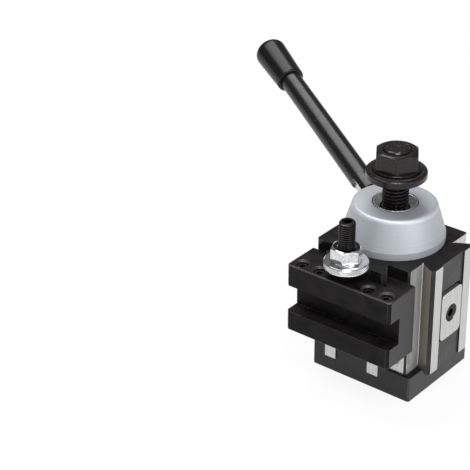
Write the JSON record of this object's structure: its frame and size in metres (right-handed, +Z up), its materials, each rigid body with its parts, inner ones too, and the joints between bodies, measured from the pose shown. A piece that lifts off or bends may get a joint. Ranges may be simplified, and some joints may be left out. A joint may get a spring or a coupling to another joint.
{
  "type": "quick change tool post",
  "caption": "Square lathe tool post with dovetails on two faces, a locking handle on a coned ring, and a slotted tool holder hung on one dovetail by a height nut.",
  "frame": {"origin": "on the axis of the centre bolt, in the plane that the post stands on", "axes": "+X towards the side with the free dovetail, -Y towards the mounted tool holder, +Z up along the centre bolt"},
  "size_m": [0.1762, 0.1245, 0.1341],
  "materials": {
    "black_oxide_steel": "satin black oxide",
    "satin_ring_steel": "fine turned satin",
    "ground_steel": "surface ground",
    "black_gloss_steel": "gloss black",
    "black_plastic": "gloss black",
    "zinc_plated_steel": "bright zinc plate",
    "black_fastener_steel": "oiled black"
  },
  "bodies": {
    "post": {"post_body": "black_oxide_steel", "centre_sleeve": "ground_steel", "centre_bolt": "black_fastener_steel"},
    "handle": {"cam_spindle": "ground_steel", "hub_ring": "satin_ring_steel", "hub_grub_screw": "black_fastener_steel", "handle_stud": "ground_steel", "handle_rod": "black_gloss_steel", "handle_knob": "black_plastic"},
    "front_clamp": {"front_piston": "ground_steel", "front_clamp_plate": "ground_steel", "front_plate_screw": "black_fastener_steel"},
    "right_clamp": {"right_piston": "ground_steel", "right_clamp_plate": "ground_steel", "right_plate_screw": "black_fastener_steel"},
    "holder": {"holder_block": "black_oxide_steel", "height_stud": "black_fastener_steel"},
    "height_nut": {"knurled_nut": "zinc_plated_steel"},
    "height_lock_nut": {"lock_nut": "zinc_plated_steel"},
    "swivel_washer": {"nut_washer": "black_fastener_steel"},
    "clamping_nut": {"centre_nut": "black_fastener_steel"},
    "tool_screw_1": {"clamp_screw_1": "black_fastener_steel"},
    "tool_screw_2": {"clamp_screw_2": "black_fastener_steel"},
    "tool_screw_3": {"clamp_screw_3": "black_fastener_steel"},
    "tool_screw_4": {"clamp_screw_4": "black_fastener_steel"}
  },
  "joints": [
    {"name": "handle_turn", "type": "hinge", "parent": "post", "child": "handle", "pos_m": [0, 0, 0], "axis": [0, 0, 1], "range_deg": [-60, 0]},
    {"name": "front_clamp_slide", "type": "slide", "parent": "post", "child": "front_clamp", "axis": [0, -1, 0], "range_m": [-0.001, 0]},
    {"name": "right_clamp_slide", "type": "slide", "parent": "post", "child": "right_clamp", "axis": [1, 0, 0], "range_m": [-0.001, 0]},
    {"name": "holder_lift", "type": "slide", "parent": "post", "child": "holder", "axis": [0, 0, 1], "range_m": [0, 0.05]},
    {"name": "height_adjust", "type": "slide", "parent": "holder", "child": "height_nut", "axis": [0, 0, 1], "range_m": [0, 0.01375]},
    {"name": "lock_nut_turn", "type": "hinge", "parent": "height_nut", "child": "height_lock_nut", "pos_m": [-0.0005, -0.0419, 0], "axis": [0, 0, 1], "range_deg": [0, 3960]},
    {"name": "washer_slide", "type": "slide", "parent": "post", "child": "swivel_washer", "axis": [0, 0, 1], "range_m": [-0.0144, 0]},
    {"name": "centre_nut_turn", "type": "hinge", "parent": "swivel_washer", "child": "clamping_nut", "pos_m": [0, 0, 0], "axis": [0, 0, 1], "range_deg": [-2590, 0]},
    {"name": "tool_screw_1_feed", "type": "slide", "parent": "holder", "child": "tool_screw_1", "axis": [0, 0, -1], "range_m": [0, 0.007]},
    {"name": "tool_screw_2_feed", "type": "slide", "parent": "holder", "child": "tool_screw_2", "axis": [0, 0, -1], "range_m": [0, 0.007]},
    {"name": "tool_screw_3_feed", "type": "slide", "parent": "holder", "child": "tool_screw_3", "axis": [0, 0, -1], "range_m": [0, 0.007]},
    {"name": "tool_screw_4_feed", "type": "slide", "parent": "holder", "child": "tool_screw_4", "axis": [0, 0, -1], "range_m": [0, 0.007]}
  ],
  "couplings": [
    {"joint": "front_clamp_slide", "follows": "handle_turn", "m_per_rad": 0.00095493},
    {"joint": "right_clamp_slide", "follows": "handle_turn", "m_per_rad": 0.00095493},
    {"joint": "height_adjust", "follows": "lock_nut_turn", "m_per_rad": 0.00019894},
    {"joint": "washer_slide", "follows": "centre_nut_turn", "m_per_rad": 0.00031831}
  ]
}
